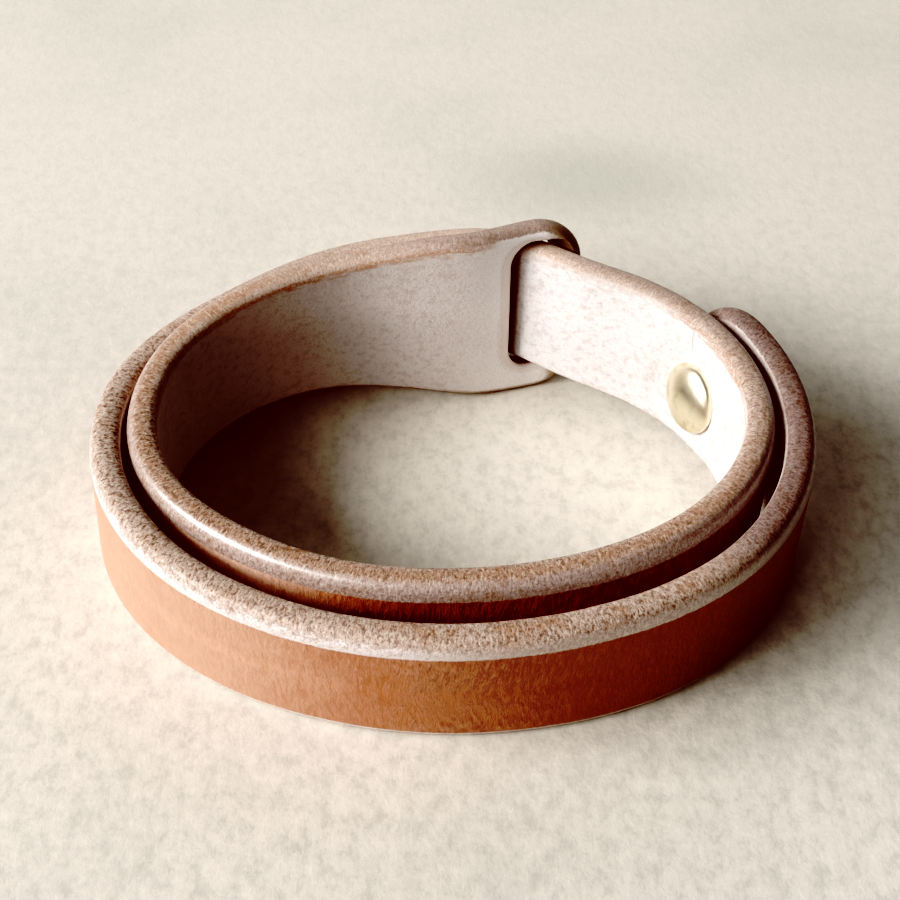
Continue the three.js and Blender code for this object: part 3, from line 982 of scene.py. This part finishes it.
def turned_piece(name, profile, post):
    """A round piece pulled up ring by ring from a circle, with a post below it."""
    bpy.ops.object.select_all(action="DESELECT")
    bottom_radius, bottom = post
    heights = [(bottom_radius, bottom), (bottom_radius, profile[0][1])] + list(profile)
    bpy.ops.mesh.primitive_circle_add(vertices=96, radius=bottom_radius * MM, fill_type="NGON",
                                      location=(0, 0, bottom * MM))
    piece = bpy.context.active_object
    piece.name = name
    piece.data.name = name
    bpy.ops.object.transform_apply(location=True, rotation=True, scale=True)
    bpy.ops.object.mode_set(mode="EDIT")
    bpy.ops.mesh.select_all(action="SELECT")
    for (radius, height), (next_radius, next_height) in zip(heights, heights[1:]):
        lift = (0, 0, (next_height - height) * MM)
        bpy.ops.mesh.extrude_region_move(TRANSFORM_OT_translate={"value": lift})
        grow = next_radius / radius
        bpy.ops.transform.resize(value=(grow, grow, 1), center_override=(0, 0, next_height * MM))
    bpy.ops.object.mode_set(mode="OBJECT")
    face_outwards(piece, 1e-7)
    return piece


def seat(piece, place, along, out, across):
    """Turns a piece made on +Z to point along out, at its place, and leaves that in its mesh."""
    turn = Matrix((along, across, out)).transposed().to_4x4()
    piece.matrix_world = Matrix.Translation(place) @ turn
    pick_only(piece)
    bpy.ops.object.transform_apply(location=True, rotation=True, scale=True)
    bpy.ops.object.shade_smooth_by_angle(angle=math.radians(50))


def make_snap(scene):
    strap, snap = scene.bracelet_strap, scene.bracelet_snap
    path = StrapPath(strap)
    middle, along, out, _ = snap_axis(path, snap)
    half = strap.thickness / 2
    outer_spot = snap_spots(path, snap)[1]
    outer = Vector(path.frames(np.array([outer_spot[0]]))[0][0])
    reach = (outer - middle).dot(out)
    cap = turned_piece("snap_cap_dome", CAP_PROFILE, (POST_RADIUS, -STEM_DEPTH))
    seat(cap, middle - out * half, along, -out, along.cross(out).normalized())
    post_bottom = POST_GAP - (reach + half) / MM
    head = turned_piece("snap_outer_head", HEAD_PROFILE, (POST_RADIUS, post_bottom))
    seat(head, middle + out * (reach + half), along, out, out.cross(along).normalized())
    return cap, head, (middle, out)


# ---- Stage ----
CAMERA_PLACE = (0.485, -112.045, 111.41)    # millimetres
CAMERA_DIP = 42.14                         # degrees below level
CAMERA_YAW = 0.1
CAMERA_ROLL = 0.38
CAMERA_LENS = 60.6                         # millimetres, on a sensor 36 wide
FLOOR_WIDTH = 3.0
LIGHT_TINT = (1.0, 0.98, 0.95)
SKY_TINT = (1.0, 0.95, 0.90, 1)
BLOT_PLACE = (0.018, 0.066)                # a faint darker blot on the floor behind the bracelet, in metres
BLOT_TINT = (0.80, 0.84, 0.82)

# The lights: each one's turn round the bracelet and height over the table, in degrees, its distance from
# the bracelet, and its width and height, in metres.
LIGHTS = (
    ("key", 188, 32, 1.5, 0.72, 0.56),
    ("side", 206, 30, 1.5, 0.50, 0.50),
    ("front", 229, 36, 1.5, 0.70, 0.40),
    ("low", 230, 6, 1.5, 0.95, 0.16),
    ("upper", 182, 54, 1.5, 0.35, 0.60),
    ("far", 100, 35, 1.5, 1.00, 0.50),
    ("back", 62, 14, 1.5, 1.60, 0.30),
)


def floor_material(scene):
    floor, dim = colours_of(scene.bracelet_stage, "floor", "floor_dim")
    bench = Bench("pale_floor")
    place = bench.node("ShaderNodeTexCoord").outputs["Object"]
    clouds = bench.noise(place, 22, 4, 0.6)
    blots = bench.noise(place, 130, 3, 0.65)
    fibres = bench.noise(bench.scaled(place, (620, 420, 1)), 1.0, 5, 0.75)
    grit = bench.noise(place, 900, 3, 0.6)
    parts = bench.node("ShaderNodeSeparateXYZ", None, {0: place})
    east, north = (Value(bench, parts.outputs[k]) for k in range(2))
    near = bench.between(north, 0.10, -0.03) * 0.75 + 0.25
    dark_fibre = tuple(c * 0.90 for c in dim)
    pale_fibre = tuple(c * 1.14 for c in floor)
    blot = tuple(c * k for c, k in zip(dim, BLOT_TINT))
    from_blot = ((east - BLOT_PLACE[0]) ** 2 + ((north - BLOT_PLACE[1]) * 1.6) ** 2) ** 0.5
    blotted = bench.between(from_blot + (clouds - 0.5) * 0.03, 0.024, 0.003)
    colour = bench.coated(
        floor,
        (bench.between(clouds, 0.42, 0.68) * 0.8, dim),
        (bench.between(blots, 0.50, 0.68) * near * 0.30, dim),
        (bench.between(fibres, 0.54, 0.34) * near * 0.95, dark_fibre),
        (bench.between(fibres, 0.50, 0.70) * near * 0.6, pale_fibre),
        (blotted * 0.70, blot),
    )
    return bench.finish({
        "Base Color": colour,
        "Roughness": 0.8,
        "Normal": bench.bump(fibres + grit * 0.4, 0.25, 0.0003),
    })


def make_stage(scene):
    settings = scene.bracelet_stage
    bpy.ops.object.select_all(action="DESELECT")
    bpy.ops.mesh.primitive_plane_add(size=FLOOR_WIDTH, location=(0, 0, 0))
    floor = bpy.context.active_object
    floor.name = "floor"
    floor.data.materials.append(floor_material(scene))
    for name, turn, height, distance, width, tall in LIGHTS:
        turn, height = math.radians(turn), math.radians(height)
        level = math.cos(height) * distance
        place = Vector((math.cos(turn) * level, math.sin(turn) * level, math.sin(height) * distance))
        bpy.ops.object.light_add(type="AREA", location=place)
        light = bpy.context.active_object
        light.name = f"{name}_light"
        light.data.shape = "RECTANGLE"
        light.data.size = width
        light.data.size_y = tall
        light.data.energy = getattr(settings, f"{name}_power")
        light.data.color = LIGHT_TINT
        light.rotation_euler = (-place).to_track_quat("-Z", "Y").to_euler()
    world = bpy.data.worlds.new("room")
    world.use_nodes = True
    background = world.node_tree.nodes["Background"]
    background.inputs["Color"].default_value = SKY_TINT
    background.inputs["Strength"].default_value = settings.sky
    scene.world = world


# The view's tone curves, each point a tone before and after. Shadows go deep and lights go bright, and red
# keeps a little in the blackest shadows.
TONES = (
    (0.0, 0.0), (0.05, 0.0), (0.107, 0.014), (0.171, 0.10), (0.342, 0.33),
    (0.60, 0.638), (0.75, 0.787), (0.93, 0.955), (1.0, 1.0),
)
RED_TONES = ((0.0, 0.098), (0.05, 0.104), (0.10, 0.120), (0.15, 0.156), (0.22, 0.220), (1.0, 1.0))
RED_CURVE = 0
ALL_CURVE = 3


def set_tones(scene):
    view = scene.view_settings
    view.view_transform = "Standard"
    view.look = "None"
    view.use_curve_mapping = True
    for curve, tones in ((ALL_CURVE, TONES), (RED_CURVE, RED_TONES)):
        points = view.curve_mapping.curves[curve].points
        points[0].location = tones[0]
        points[-1].location = tones[-1]
        for tone in tones[1:-1]:
            points.new(*tone)
    view.curve_mapping.update()


def make_camera(scene):
    data = bpy.data.cameras.new("camera")
    data.lens = CAMERA_LENS
    data.sensor_width = 36
    data.clip_start = 0.005
    camera = bpy.data.objects.new("camera", data)
    scene.collection.objects.link(camera)
    yaw = Matrix.Rotation(math.radians(CAMERA_YAW), 4, "Z")
    pitch = Matrix.Rotation(math.radians(90 - CAMERA_DIP), 4, "X")
    roll = Matrix.Rotation(math.radians(CAMERA_ROLL), 4, "Z")
    camera.matrix_world = Matrix.Translation(Vector(CAMERA_PLACE) * MM) @ yaw @ pitch @ roll
    scene.camera = camera


# ---- Operators ----
class WindStrap(bpy.types.Operator):
    """Makes the leather strap flat, cuts its slot and snap holes, and winds it into the bracelet"""

    bl_idname = "bracelet.wind_strap"
    bl_label = "Wind the leather strap"

    def execute(self, context):
        piece, path = make_strap(context.scene)
        piece.name = "wound_strap"
        piece.data.materials.append(leather_material(context.scene, path))
        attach(piece, "root")
        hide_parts("leather_strap")
        return {"FINISHED"}


class SetSnap(bpy.types.Operator):
    """Sets the brass cap inside the inner loop and the plain head outside the outer one"""

    bl_idname = "bracelet.set_snap"
    bl_label = "Set the brass snap"

    def execute(self, context):
        cap, head, axis = make_snap(context.scene)
        for piece, node, domed in ((cap, "snap_cap", axis), (head, "snap_post", None)):
            piece.data.materials.append(brass_material(context.scene, f"{node}_brass", domed))
            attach(piece, "root")
            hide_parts(node)
        return {"FINISHED"}


class LayStage(bpy.types.Operator):
    """Lays the floor and sets the light and the camera"""

    bl_idname = "bracelet.lay_stage"
    bl_label = "Lay the stage"

    def execute(self, context):
        make_stage(context.scene)
        set_tones(context.scene)
        make_camera(context.scene)
        return {"FINISHED"}


class BraceletPanel(bpy.types.Panel):
    """Lists the bracelet's settings and the steps that make it"""

    bl_idname = "VIEW3D_PT_bracelet"
    bl_label = "Bracelet"
    bl_space_type = "VIEW_3D"
    bl_region_type = "UI"
    bl_category = "Bracelet"

    def draw(self, context):
        for name, group in SETTINGS.items():
            box = self.layout.box()
            for key in group.__annotations__:
                box.prop(getattr(context.scene, name), key)
        for step in STEPS:
            self.layout.operator(step.bl_idname)


STEPS = (LayStage, WindStrap, SetSnap)
CLASSES = (*SETTINGS.values(), *STEPS, BraceletPanel)


def register():
    for made in CLASSES:
        bpy.utils.register_class(made)
    for name, group in SETTINGS.items():
        setattr(bpy.types.Scene, name, PointerProperty(type=group))


def unregister():
    for name in SETTINGS:
        delattr(bpy.types.Scene, name)
    for made in reversed(CLASSES):
        bpy.utils.unregister_class(made)


def main():
    register()
    bpy.ops.bracelet.lay_stage()
    bpy.ops.bracelet.wind_strap()
    bpy.ops.bracelet.set_snap()


if __name__ == "__main__":
    main()
